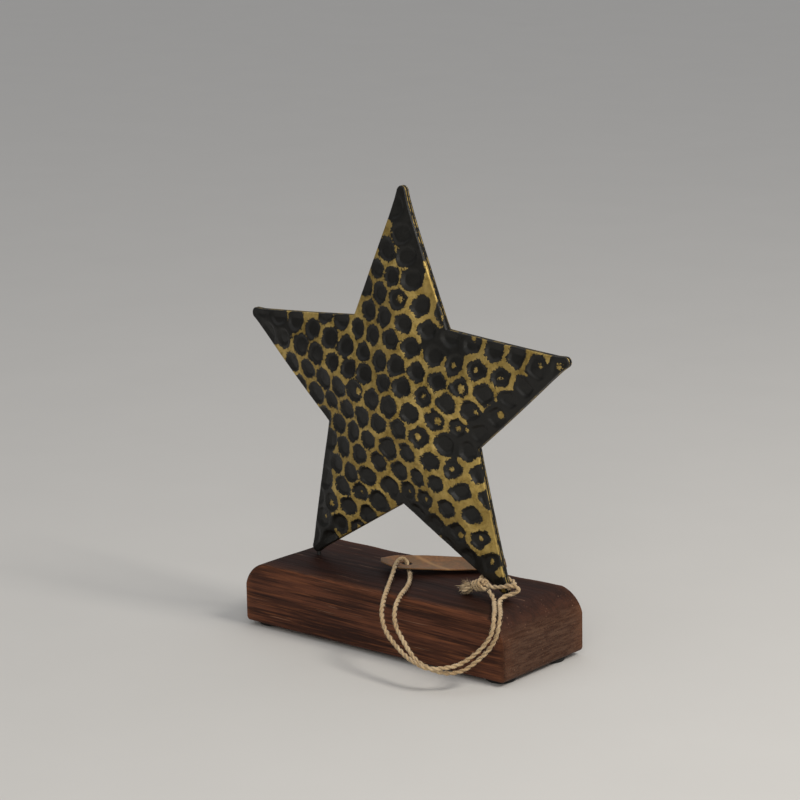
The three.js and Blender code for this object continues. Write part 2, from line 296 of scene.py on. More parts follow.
def stained_waxed_walnut(settings):
    # Planed walnut under dark stain and rubbed wax: deep brown with fine pale streaks along the
    # grain, blacker on top, worn paler along the edges, and a low satin shine.
    material, tree, shader, place = start_material("walnut_stained_waxed")
    broad = stretched_noise(tree, place, (70, 5, 3.4), 3, 0.5, 0.6)
    streak = stretched_noise(tree, place, (32, 1.1, 0.85), 5, 0.7, 0.25)
    # Real fibres are 0.1 mm wide; they are drawn at 0.3 mm so that they show.
    fibre = stretched_noise(tree, place, (9, 0.3, 0.3), 3, 0.6)
    facing = add(tree, "ShaderNodeNewGeometry").outputs["Normal"]
    split = add(tree, "ShaderNodeSeparateXYZ", {"Vector": facing})
    upward = ramp(tree, split.outputs["Z"], 0.25, 0.85)
    endward = ramp(tree, maths(tree, "ABSOLUTE", split.outputs["X"]), 0.55, 0.9)
    side = blend(tree, ramp(tree, broad, 0.38, 0.62), linear("331c14"), linear(settings.side_stain))
    side = blend(tree, ramp(tree, streak, 0.5, 0.68, 0, 0.6), side, linear(settings.worn_wood))
    side = blend(tree, ramp(tree, streak, 0.36, 0.48, 0.7, 0), side, linear("1d0f0a"))
    top = blend(tree, ramp(tree, broad, 0.3, 0.7), linear("20110c"), linear(settings.top_stain))
    top = blend(tree, ramp(tree, streak, 0.6, 0.85, 0, 0.3), top, linear("4a2f26"))
    pores = add(tree, "ShaderNodeTexVoronoi", {"Vector": place, "Scale": 1 / (1.5 * MM)})
    rings = stretched_noise(tree, place, (40, 9, 1.1), 4, 0.6, 0.8)
    end = blend(tree, ramp(tree, rings, 0.35, 0.65), linear("281a13"), linear("4b382c"))
    pore = ramp(tree, pores.outputs["Distance"], 0.1, 0.22, 0.8, 0)
    end = blend(tree, pore, end, linear("15100e"))
    # The cut ends show under the stain as far up as the rounding starts.
    colour = blend(tree, endward, side, end)
    colour = blend(tree, upward, colour, top)
    worn = attribute(tree, "edge_wear")
    patchy = maths(tree, "MULTIPLY", worn, ramp(tree, fibre, 0.4, 0.6, 0.15, 1.0))
    colour = blend(tree, maths(tree, "MULTIPLY", patchy, 0.55), colour, linear(settings.worn_wood))
    # A near-black line down the front right corner is painted shade.
    colour = blend(tree, attribute(tree, "edge_shade_line"), colour, linear("0c0706"))
    # Long fine scratches along the grain, through the wax.
    scratch = ramp(tree, stretched_noise(tree, place, (40, 0.9, 0.75), 2, 0.5, 0.3), 0.68, 0.74)
    colour = blend(tree, maths(tree, "MULTIPLY", scratch, 0.5), colour, linear("a07a62"))
    fill(tree, shader, {
        "Base Color": colour, "Roughness": ramp(tree, streak, 0.3, 0.7, 0.46, 0.66), "IOR": 1.5,
        "Specular IOR Level": 0.13, "Coat Weight": 0.012, "Coat Roughness": 0.3})
    relief(tree, shader, (streak, 0.10), (fibre, 0.05), (scratch, -0.04))
    return material


def enamelled_iron_brushed_gold(settings):
    # Sheet iron sprayed with black enamel and dry-brushed with antique gold: the gold catches on
    # the raised walls between the cells and breaks up towards the points.
    material, tree, shader, place = start_material("iron_black_enamel_brushed_gold")
    wall = attribute(tree, "wall_distance")
    reach = attribute(tree, "gold_reach")
    fleck = attribute(tree, "fleck")
    rub = stretched_noise(tree, place, 3.2, 5, 0.65)
    # Noise for where the gold breaks up and where its painted highlight falls.
    breakup_and_highlight = stretched_noise(tree, place, 7, 4, 0.7, 0.4)
    grit = stretched_noise(tree, place, 0.7, 3, 0.6)
    rub_from_mean = maths(tree, "SUBTRACT", rub, 0.5)
    grit_from_mean = maths(tree, "SUBTRACT", grit, 0.5)
    uneven = maths(tree, "MULTIPLY_ADD", rub_from_mean, 3.6, reach)
    uneven = maths(tree, "MULTIPLY_ADD", grit_from_mean, 2.0, uneven)
    drop = maths(tree, "MULTIPLY", ramp(tree, breakup_and_highlight, 0.4, 0.6, 1, 0), attribute(tree, "breaks"))
    uneven = maths(tree, "SUBTRACT", uneven, maths(tree, "MULTIPLY", drop, 2.2))
    on_wall = ramp(tree, maths(tree, "SUBTRACT", uneven, wall), -0.15, 0.25)
    speck = maths(tree, "MULTIPLY_ADD", rub_from_mean, 4.5, fleck)
    speck = ramp(tree, maths(tree, "MULTIPLY_ADD", grit_from_mean, 3.0, speck), 0.0, 0.4)
    gilt = maths(tree, "MAXIMUM", on_wall, speck)
    thin = ramp(tree, stretched_noise(tree, place, 2.2, 6, 0.75), 0.36, 0.66)
    gold = blend(tree, thin, linear("7d6630"), linear(settings.gold))
    # Paler gold in random patches is a painted highlight.
    gold = blend(tree, ramp(tree, breakup_and_highlight, 0.35, 0.75), gold, linear("d4b870"))
    dull = ramp(tree, stretched_noise(tree, place, 26, 2), 0.4, 0.62, 0, 0.55)
    gold = blend(tree, dull, gold, linear("8d753e"))
    dust = ramp(tree, stretched_noise(tree, place, 1.1, 4, 0.7), 0.56, 0.8, 0, 0.25)
    black = blend(tree, dust, linear(settings.black), linear("2b2a26"))
    rough = ramp(tree, rub, 0.3, 0.7, 0.34, 0.52)
    fill(tree, shader, {
        "Base Color": blend(tree, gilt, black, gold), "Specular IOR Level": 0.32,
        "Metallic": maths(tree, "MULTIPLY", gilt, 0.7),
        "Roughness": maths(tree, "MULTIPLY_ADD", gilt, 0.08, rough)})
    relief(tree, shader, (rub, 0.14), (grit, 0.05), (gilt, 0.06))
    return material


def natural_jute(settings):
    # Retted jute spun into two plies: dull straw brown with darker and paler fibres along the
    # twist, fully matt, with a faint sheen of loose hairs.
    material, tree, shader, place = start_material("jute_two_ply_natural")
    twist = add(tree, "ShaderNodeCombineXYZ", {
        "X": maths(tree, "MULTIPLY", attribute(tree, "along"), 1 / (5 * MM)),
        "Y": maths(tree, "MULTIPLY", attribute(tree, "around"), 9.0)})
    fibre = add(tree, "ShaderNodeTexNoise", {
        "Vector": twist.outputs["Vector"], "Scale": 1.0, "Detail": 4.0, "Roughness": 0.7,
    }).outputs["Fac"]
    patch = stretched_noise(tree, place, 9, 2)
    colour = blend(tree, ramp(tree, fibre, 0.3, 0.7), linear("8f7450"), linear(settings.jute))
    colour = blend(tree, ramp(tree, patch, 0.35, 0.7, 0, 0.5), colour, linear("d8c29c"))
    fill(tree, shader, {"Base Color": colour, "Roughness": 0.9, "IOR": 1.45,
                        "Sheen Weight": 0.25, "Sheen Roughness": 0.5})
    relief(tree, shader, (fibre, 0.25))
    return material


def pulped_kraft_card(settings):
    # Pressed kraft pulp, uncoated: dull brown and matt, with darker and paler fibres lying every
    # way, an olive stain, and a pale diagonal streak that is a painted highlight along a bend.
    material, tree, shader, place = start_material("kraft_card_pressed_pulp")
    pulp = stretched_noise(tree, place, 1.6, 5, 0.7)
    # Real fibres are 0.03 mm wide; they are drawn at 0.3 mm so that they show.
    fibre = stretched_noise(tree, place, (1.4, 0.3, 0.3), 3, 0.6, 1.2)
    stain = stretched_noise(tree, place, 9, 2, 0.5)
    colour = blend(tree, ramp(tree, pulp, 0.35, 0.65), linear("664223"), linear(settings.kraft))
    colour = blend(tree, ramp(tree, stain, 0.46, 0.6, 0, 0.6), colour, linear("5c4628"))
    colour = blend(tree, ramp(tree, fibre, 0.6, 0.78, 0, 0.5), colour, linear("a8835a"))
    # The pale diagonal streak across the card is a painted highlight along a bend.
    colour = blend(tree, attribute(tree, "bend_highlight"), colour, linear("a9804f"))
    fill(tree, shader, {
        "Base Color": colour, "Roughness": 0.86, "IOR": 1.47, "Sheen Weight": 0.12})
    relief(tree, shader, (pulp, 0.05), (fibre, 0.04))
    return material


def drawn_steel_wire():
    # Mild steel wire as drawn: grey with fine lines along it and a dull shine.
    material, tree, shader, place = start_material("steel_wire_drawn")
    lines = stretched_noise(tree, place, (0.25, 0.25, 9), 3, 0.6)
    fill(tree, shader, {
        "Base Color": blend(tree, lines, linear("5a5a5c"), linear("8e8e8c")),
        "Metallic": 1.0, "Roughness": ramp(tree, lines, 0.2, 0.8, 0.3, 0.5)})
    relief(tree, shader, (lines, 0.03))
    return material


def moulded_rubber():
    # Moulded rubber: near black and matt, with a little dust and a fine pitted skin.
    material, tree, shader, place = start_material("rubber_moulded_black")
    skin = stretched_noise(tree, place, 0.5, 3, 0.6)
    dust = stretched_noise(tree, place, 4, 3)
    colour = blend(tree, ramp(tree, dust, 0.45, 0.75, 0, 0.5), linear("141312"), linear("2e2c29"))
    fill(tree, shader, {"Base Color": colour, "Roughness": 0.85})
    relief(tree, shader, (skin, 0.05))
    return material


def matt_studio_floor(settings):
    # Matt painted board: pale and even, with a barely visible mottle.
    material, tree, shader, place = start_material("board_painted_matt")
    mottle = stretched_noise(tree, place, 60, 3)
    colour = linear(settings.floor)
    darker = [c * 0.96 for c in colour[:3]] + [1.0]
    fill(tree, shader, {"Base Color": blend(tree, mottle, darker, colour),
                        "Roughness": 0.75, "Specular IOR Level": 0.3})
    return material


# ---------- Mesh helpers ----------

def finish_piece(context, name, verts, faces, material, replaces, values=None):
    """Makes one mesh piece with its point values, its material and its place in the frame."""
    mesh = bpy.data.meshes.new(name)
    mesh.from_pydata([tuple(v) for v in verts], [], [tuple(int(i) for i in f) for f in faces])
    for key, numbers in (values or {}).items():
        layer = mesh.attributes.new(key, "FLOAT", "POINT")
        layer.data.foreach_set("value", np.asarray(numbers, dtype=np.float32))
    shape = bmesh.new()
    shape.from_mesh(mesh)
    bmesh.ops.recalc_face_normals(shape, faces=shape.faces)
    for face in shape.faces:
        face.smooth = True
    shape.to_mesh(mesh)
    shape.free()
    mesh.materials.append(material)
    piece = bpy.data.objects.new(name, mesh)
    context.scene.collection.objects.link(piece)
    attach(piece, "root")
    if replaces:
        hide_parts(*replaces)
    return piece


def soften_edges(piece, angle=35):
    """Keeps folds sharp and the rest smooth."""
    piece.data.set_sharp_from_angle(angle=math.radians(angle))


def merge_points(piece, distance):
    """Joins points that lie together and drops those that no face uses."""
    shape = bmesh.new()
    shape.from_mesh(piece.data)
    bmesh.ops.remove_doubles(shape, verts=shape.verts, dist=distance)
    loose = [vert for vert in shape.verts if not vert.link_faces]
    bmesh.ops.delete(shape, geom=loose, context="VERTS")
    shape.to_mesh(piece.data)
    shape.free()


def ring_faces(start, rings, count):
    """Faces between rings of count points that follow each other from the point at start."""
    faces = []
    for ring in range(rings - 1):
        for k in range(count):
            a, b = start + ring * count + k, start + ring * count + (k + 1) % count
            faces.append((a, b, b + count, a + count))
    return faces


def run_along(path):
    """The distance along a path at each of its points."""
    return np.concatenate([[0], np.cumsum(np.linalg.norm(np.diff(path, axis=0), axis=1))])


def unit(vector):
    """The same direction with a length of 1."""
    return vector / np.linalg.norm(vector)


def soft_step(value, middle, width):
    """From 0 to 1 as the value passes the middle, over about four widths."""
    return 1 / (1 + np.exp(-(value - middle) / width))


def smooth_route(points, step):
    """A smooth centripetal curve through the points, resampled every step metres."""
    given = [np.array(p, dtype=float) for p in points]
    ends = [2 * given[0] - given[1]] + given + [2 * given[-1] - given[-2]]
    dense = []
    for a, b, c, d in zip(ends, ends[1:], ends[2:], ends[3:]):
        gaps = [max(np.linalg.norm(q - p) ** 0.5, 1e-6) for p, q in ((a, b), (b, c), (c, d))]
        t1 = (b - a) / gaps[0] - (c - a) / (gaps[0] + gaps[1]) + (c - b) / gaps[1]
        t2 = (c - b) / gaps[1] - (d - b) / (gaps[1] + gaps[2]) + (d - c) / gaps[2]
        t1, t2 = t1 * gaps[1], t2 * gaps[1]
        for t in np.linspace(0, 1, 14, endpoint=False):
            dense.append(b + t1 * t + (3 * (c - b) - 2 * t1 - t2) * t ** 2
                         + (2 * (b - c) + t1 + t2) * t ** 3)
    dense = np.array(dense + [given[-1]])
    run = run_along(dense)
    count = max(int(run[-1] / step), 4)
    marks = np.linspace(0, run[-1], count + 1)
    return np.stack([np.interp(marks, run, dense[:, k]) for k in range(3)], axis=1)


def carried_frames(path):
    """Two directions across a path at each of its points, carried along without twisting."""
    ahead = np.gradient(path, axis=0)
    ahead /= np.linalg.norm(ahead, axis=1)[:, None]
    side = np.cross(ahead[0], [0.0, 0.0, 1.0])
    if np.linalg.norm(side) < 0.1:
        side = np.cross(ahead[0], [1.0, 0.0, 0.0])
    sides = []
    for direction in ahead:
        side = unit(side - direction * np.dot(side, direction))
        sides.append(side)
    sides = np.array(sides)
    return sides, np.cross(ahead, sides)


class Strands:
    """Collects tubes into one mesh, with the distance along and the angle around each."""

    def __init__(self):
        self.verts, self.faces, self.along, self.around = [], [], [], []

    def tube(self, path, radii, count=7, turn=None):
        """A closed tube of count sides, turned by the angles in turn."""
        path = np.asarray(path)
        side, other = carried_frames(path)
        run, base = run_along(path), len(self.verts)
        radii = np.broadcast_to(radii, (len(path),))
        for i, point in enumerate(path):
            spin = 0 if turn is None else turn[i]
            for k in range(count):
                angle = 2 * math.pi * k / count + spin
                out = side[i] * math.cos(angle) + other[i] * math.sin(angle)
                self.verts.append(point + out * radii[i])
                self.along.append(run[i])
                self.around.append(k / count)
        self.faces += ring_faces(base, len(path), count)
        self.faces.append(tuple(base + k for k in range(count))[::-1])
        last = base + (len(path) - 1) * count
        self.faces.append(tuple(last + k for k in range(count)))

    def two_ply(self, path, diameter, lay, start=0.0, swell=None):
        """Two plies wound round each other along a path."""
        path = np.asarray(path)
        side, other = carried_frames(path)
        run = run_along(path)
        swell = np.ones(len(path)) if swell is None else swell
        for ply in (0, 1):
            angle = 2 * math.pi * run / lay + math.pi * ply + start
            offset = side * np.cos(angle)[:, None] + other * np.sin(angle)[:, None]
            centre = path + offset * (diameter * 0.24 * swell)[:, None]
            self.tube(centre, diameter * 0.34 * swell, 8, angle)

    def hair(self, base, direction, length, droop, radius, rng):
        """One loose fibre that leaves a point and curls as it goes."""
        curl = np.array([rng.uniform(-1, 1) for _ in range(3)])
        direction = unit(np.asarray(direction))
        points = []
        for t in (0.0, 0.35, 0.7, 1.0):
            points.append(base + direction * length * t + curl * length * 0.28 * t * t
                          + np.array([0, 0, -droop * length * t * t]))
        self.tube(points, [radius, radius, radius * 0.8, radius * 0.4], 3)

    def piece(self, context, name, material, slot, replaces):
        """One mesh piece of all the tubes."""
        return finish_piece(context, name, self.verts, self.faces, material, replaces,
                            values={"along": self.along, "around": self.around})


# ---------- The wooden block ----------

def block_profile(length, low, high, end, foot, steps=10):
    """The block's outline in X and Z, with large rounds at the top ends."""
    half = length / 2
    # The large rounds are sanded a little flatter than a true arc.
    flat_share = 0.34
    corners = [(-half + foot, low + foot, foot, 180, 0.0),
               (half - foot, low + foot, foot, 270, 0.0),
               (half - end, high - end, end, 0, flat_share),
               (-half + end, high - end, end, 90, flat_share)]
    outline = []
    for centre_x, centre_z, radius, begin, flat in corners:
        first, last = math.radians(begin), math.radians(begin + 90)
        for k in range(steps + 1):
            t = k / steps
            a = first + (last - first) * t
            chord = ((1 - t) * math.cos(first) + t * math.cos(last),
                     (1 - t) * math.sin(first) + t * math.sin(last))
            outline.append((centre_x + radius * ((1 - flat) * math.cos(a) + flat * chord[0]),
                            centre_z + radius * ((1 - flat) * math.sin(a) + flat * chord[1])))
    return np.array(outline)


def divide_straights(outline, longest):
    """Adds points along the long straight runs of a closed outline."""
    made = []
    for a, b in zip(outline, np.roll(outline, -1, axis=0)):
        parts = max(1, int(np.linalg.norm(b - a) / longest))
        made += [a + (b - a) * k / parts for k in range(parts)]
    return np.array(made)


class TROPHY_OT_block(bpy.types.Operator):
    """Build the stained wooden block"""

    bl_idname = "trophy.block"
    bl_label = "Wooden block"

    def execute(self, context):
        settings = context.scene.trophy_block
        low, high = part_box("wood_block")
        length, radius = high.x - low.x, settings.edge_round
        ring = divide_straights(
            block_profile(length, low.z, high.z, settings.end_round, 0.002), 0.0025)
        inward = np.roll(ring, -1, axis=0) - np.roll(ring, 1, axis=0)
        inward = np.stack([-inward[:, 1], inward[:, 0]], axis=1)
        inward /= np.linalg.norm(inward, axis=1)[:, None]
        front = []
        for k in range(5, -1, -1):
            a = math.pi / 2 * k / 5
            front.append((low.y + radius * (1 - math.sin(a)), radius * (1 - math.cos(a))))
        middle = [(y, 0.0) for y in np.linspace(low.y + radius, high.y - radius, 20)[1:-1]]
        back = [(low.y + high.y - y, inset) for y, inset in front[::-1]]
        rows = front + middle + back
        verts, wear, shade_line = [], [], []
        waves = np.random.default_rng(11).uniform(0, 2 * math.pi, 6)
        depth, middle_z = high.y - low.y, (low.z + high.z) / 2
        # The block was sawn by hand: its back runs out to the right, and its right end runs in.
        runs_out, runs_in, worn = 0.0050, 0.0012, 0.0016
        for y, inset in rows:
            for (x, z), (dx, dz) in zip(ring, inward):
                px, pz = x + dx * inset, z + dz * inset
                dip = 0.00016 * math.sin(px * 90 + waves[0]) * math.sin(y * 160 + waves[1])
                dip += 0.00010 * math.sin(px * 260 + waves[2] + y * 120)
                pz += dip * (pz > middle_z)
                back_share = (y - low.y) / depth
                skew = runs_out * max(0.0, (px - low.x) / length) ** 1.5
                verts.append((px - runs_in * back_share * (px > 0),
                              y + skew * back_share ** 2, pz))
                to_side = min(y - low.y, high.y - y)
                to_end = min(px - low.x, high.x - px)
                long_edge = math.exp(-(to_side + max(high.z - pz, 0)) / worn)
                corner = math.exp(-(to_side + to_end) / 0.003)
                shoulder = math.exp(-to_end / 0.005) * 0.35
                wear.append(min(1.0, long_edge + corner + shoulder))
                # A thin line of painted shade runs down the front right corner, below the top
                # rounding.
                at_shade_line = px > 0 > y and pz < high.z - 0.006
                shade_line.append(0.9 * at_shade_line * math.exp(-(to_side + to_end) / 0.0012))
        count = len(ring)
        faces = ring_faces(0, len(rows), count)
        # Rings set in on each flat side keep the wear close to the edge.
        for first in (0, (len(rows) - 1) * count):
            outer = first
            for shrink in (0.0014, 0.0045):
                inner = len(verts)
                for k in range(count):
                    px, py, pz = verts[first + k]
                    verts.append((px * (1 - shrink / (length / 2)), py,
                                  middle_z + (pz - middle_z) * (1 - shrink / (high.z - middle_z))))
                    fade = math.exp(-shrink / worn)
                    wear.append(wear[first + k] * fade)
                    shade_line.append(shade_line[first + k] * fade * 0.5)
                for k in range(count):
                    j = (k + 1) % count
                    faces.append((outer + k, outer + j, inner + j, inner + k))
                outer = inner
            faces.append(tuple(outer + k for k in range(count)))
        piece = finish_piece(
            context, "walnut_block", verts, faces,
            stained_waxed_walnut(settings), ["wood_block"],
            values={"edge_wear": wear, "edge_shade_line": shade_line})
        soften_edges(piece, 40)
        return {"FINISHED"}


# ---------- Pads ----------

class TROPHY_OT_pads(bpy.types.Operator):
    """Build the four round rubber pads"""

    bl_idname = "trophy.pads"
    bl_label = "Pads"

    def execute(self, context):
        material = moulded_rubber()
        for node in ("pad_front_left", "pad_front_right", "pad_rear_left", "pad_rear_right"):
            low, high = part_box(node)
            centre, radius, tall = (low + high) / 2, (high.x - low.x) / 2, high.z - low.z
            round_off = tall * 0.3
            profile = [(0.0, 0.00015), (radius * 0.6, 0.00015), (radius * 0.66, 0.0)]
            for k in range(6):
                a = math.pi / 2 * k / 5
                profile.append((radius - round_off + round_off * math.sin(a),
                                round_off - round_off * math.cos(a)))
            profile += [(radius, tall - 0.0001), (radius - 0.0004, tall), (0.0, tall)]
            around, verts = 48, []
            for r, z in profile:
                for k in range(around):
                    a = 2 * math.pi * k / around
                    verts.append((centre.x + r * math.cos(a), centre.y + r * math.sin(a),
                                  low.z + z))
            piece = finish_piece(context, node.replace("pad", "rubber_pad"), verts,
                                 ring_faces(0, len(profile), around), material,
                                 [node])
            merge_points(piece, 1e-6)
            soften_edges(piece)
        return {"FINISHED"}


# ---------- The star ----------

class StarShape:
    """The star's outline, its soft ridges and its beaten cells, in X and Z from its centre."""

    def __init__(self, settings, face):
        self.sizes = settings
        self.face = face  # -1 at the front, 1 at the back
        half = math.pi / 5
        along = settings.notch_radius * math.sin(half)
        across = settings.point_radius - settings.notch_radius * math.cos(half)
        size = math.hypot(along, across)
        self.normal = (along / size, across / size)
        self.edge_distance = settings.point_radius * along / size
        self.slope = along / across
        # Each point ends in a round, reached by sides a little wider than the straight ones.
        self.round_at = settings.cut_radius - 0.0008
        self.cap_slope = 0.34
        self.cap_from = (settings.point_radius * self.slope - settings.tip_radius
                         - self.round_at * self.cap_slope) / (self.slope - self.cap_slope)
        rng = np.random.default_rng(5 if face < 0 else 6)
        self.cells = self.struck_cells(rng)
        self.flecks = self.gold_flecks(rng)

    def struck_cells(self, rng):
        """Hollows struck in slanting, staggered rows, each a little off its place."""
        spacing, slant = self.sizes.cell_spacing, self.sizes.row_slant
        count = math.ceil(self.sizes.point_radius / spacing) + 1
        row, place = np.mgrid[-count:count + 1, -count:count + 1].reshape(2, -1)
        along = (place + 0.5 * (row % 2)) * spacing
        up = row * spacing * math.sin(math.pi / 3)
        side = along * math.cos(slant) + up * math.sin(slant)
        z = up * math.cos(slant) - along * math.sin(slant)
        # Right of the middle the blows are heavier and fall further apart.
        right = np.clip(side / 0.03, 0, 1)
        scatter = 0.0007
        side = side * (1 + 0.08 * right) + rng.normal(0, scatter, side.shape)
        z = z + rng.normal(0, scatter, z.shape)
        radius = self.sizes.cell_radius + 0.0004 * right + rng.normal(0, 0.0003, z.shape)
        cells = np.stack([-self.face * side, z, radius], axis=1)
        # A hollow may run off the edge, but its middle stays near it.
        past_edge = 0.0016
        return cells[self.rim_distance(cells[:, 0], cells[:, 1]) > -past_edge]

    def gold_flecks(self, rng):
        """Spots of gold left in some hollows, more of them at the right and on the legs."""
        side = -self.face * self.cells[:, 0]
        chance = np.where((side > 0.01) | (self.cells[:, 1] < -0.035), 0.38, 0.04)
        flecks = self.cells[rng.random(len(side)) < chance]
        flecks[:, :2] += rng.normal(0, 0.0010, flecks[:, :2].shape)
        flecks[:, 2] = rng.uniform(0.0005, 0.0017, len(flecks))
        return flecks

    def outline(self, count):
        """Half of one point's edge, from the middle of its tip to the notch."""
        tip = self.sizes.tip_radius
        stop = math.pi / 2 - math.atan(self.cap_slope)
        line = [(self.round_at + tip * math.cos(a), tip * math.sin(a))
                for a in np.linspace(0, stop, 24)]
        line.append((self.cap_from, (self.sizes.point_radius - self.cap_from) * self.slope))
        half = math.pi / 5
        notch = self.sizes.notch_radius
        line.append((notch * math.cos(half), notch * math.sin(half)))
        line = np.array(line)
        run = run_along(line)
        # Closer together round the tip than along the straight edge.
        marks = run[-1] * np.linspace(0, 1, count) ** 1.15
        return np.stack([np.interp(marks, run, line[:, k]) for k in (0, 1)], axis=1)

    def fold(self, x, z):
        """Puts a point in the half sector of its nearest point of the star."""
        radius, sector = np.hypot(x, z), 2 * math.pi / 5
        angle = np.arctan2(z, x) - math.pi / 2
        angle = (angle + sector / 2) % sector - sector / 2
        return radius * np.cos(angle), np.abs(radius * np.sin(angle))

    def rise(self, x, z):
        """How far the plain folded sheet stands over the rim."""
        along, across = self.fold(x, z)
        share = (along * self.normal[0] + across * self.normal[1]) / self.edge_distance
        return self.sizes.bulge * np.maximum(1 - share, -0.01)

    def soft_rise(self, x, z):
        """The same with its ridges and valleys rounded, as a beaten sheet has them."""
        total, weight = self.rise(x, z), 1.0
        for reach, share, start in ((0.0022, 1.0, 0.0), (0.0045, 0.8, 0.5)):
            for k in range(8):
                a = 2 * math.pi * (k + start) / 8
                total = total + share * self.rise(x + reach * math.cos(a), z + reach * math.sin(a))
                weight += share
        return total / weight

    def rim_distance(self, x, z):
        """Distance inside the outline."""
        along, across = self.fold(x, z)
        edge = self.edge_distance - (along * self.normal[0] + across * self.normal[1])
        past = along - self.round_at
        cap = self.sizes.tip_radius - np.where(
            past > 0, np.hypot(past, across), across + past * self.cap_slope)
        return np.where(along > self.cap_from, cap, edge)

    def walls(self, x, z):
        """Distance into a cell from the edge of its wall, and into a fleck from its edge."""
        points = np.stack([x, z], axis=1)
        apart = np.linalg.norm(points[:, None] - self.cells[None, :, :2], axis=2)
        # Large cells push their walls away from small ones.
        power = apart - self.cells[None, :, 2] * 0.9
        order = np.argsort(power, axis=1)[:, :2]
        rows = np.arange(len(points))
        first, second = order[:, 0], order[:, 1]
        near = apart[rows, first]
        between = (power[rows, second] - power[rows, first]) / 2
        # The left and middle have rounder cells in more gold; the right has angular ones.
        side = -self.face * x
        right = soft_step(side, 0.010, 0.005)
        low_right = right * soft_step(-z, 0.022, 0.005)
        high_up = soft_step(z, 0.056, 0.003)
        half_wall = 0.00112 + 0.00025 * right + 0.00050 * low_right - 0.00050 * high_up
        roundness = 0.60 - 0.40 * right
        radius = self.cells[first, 2] + 0.00035 * (1 - right)
        inside = roundness * (radius - near) + (1 - roundness) * (between - half_wall)
        inside = np.minimum(inside, radius + 0.0011 - near)
        spot = np.linalg.norm(points[:, None] - self.flecks[None, :, :2], axis=2)
        return inside, (self.flecks[None, :, 2] - spot).max(axis=1)

    def bareness(self, x, z):
        """How far the gold is missing, from 0 to 1."""
        bare = np.zeros(len(x))
        for from_x, from_z, to_x, to_z, size in np.array(BARE_STROKES) * MM:
            run_x, run_z = to_x - from_x, to_z - from_z
            beside, over = -self.face * x - from_x, z - from_z
            share = np.clip((beside * run_x + over * run_z) / (run_x ** 2 + run_z ** 2), 0, 1)
            gap = np.hypot(beside - share * run_x, over - share * run_z)
            bare = np.maximum(bare, soft_step(-gap, -size, 0.0009))
        return bare


def star_sweep(radius, reach):
    """The points lean back a little and the middle forward, as the sheet has sprung."""
    return 0.003 * np.clip(radius / reach, 0, 1) ** 2 - 0.0016


def star_sheet(shape, rows=176, columns=88):
    """Points and faces of one side of the star: ten fans from the centre, row by row."""
    edge = shape.outline(columns)
    around = []
    for point in range(5):
        a = math.pi / 2 + point * 2 * math.pi / 5
        for along, across in edge[:-1]:
            around.append((along * math.cos(a) - across * math.sin(a),
                           along * math.sin(a) + across * math.cos(a)))
        a += 2 * math.pi / 5
        for along, across in edge[:0:-1]:
            around.append((along * math.cos(a) + across * math.sin(a),
                           along * math.sin(a) - across * math.cos(a)))
    around = np.array(around)
    shares = np.linspace(0, 1, rows + 1)[1:] ** 0.9
    flat = np.concatenate([[[0.0, 0.0]]] + [around * share for share in shares])
    count, faces = len(around), []
    for k in range(count):
        faces.append((0, 1 + k, 1 + (k + 1) % count))
    for i in range(len(shares) - 1):
        for k in range(count):
            a, b = 1 + i * count + k, 1 + i * count + (k + 1) % count
            faces.append((a, a + count, b + count, b))
    return flat, faces, count


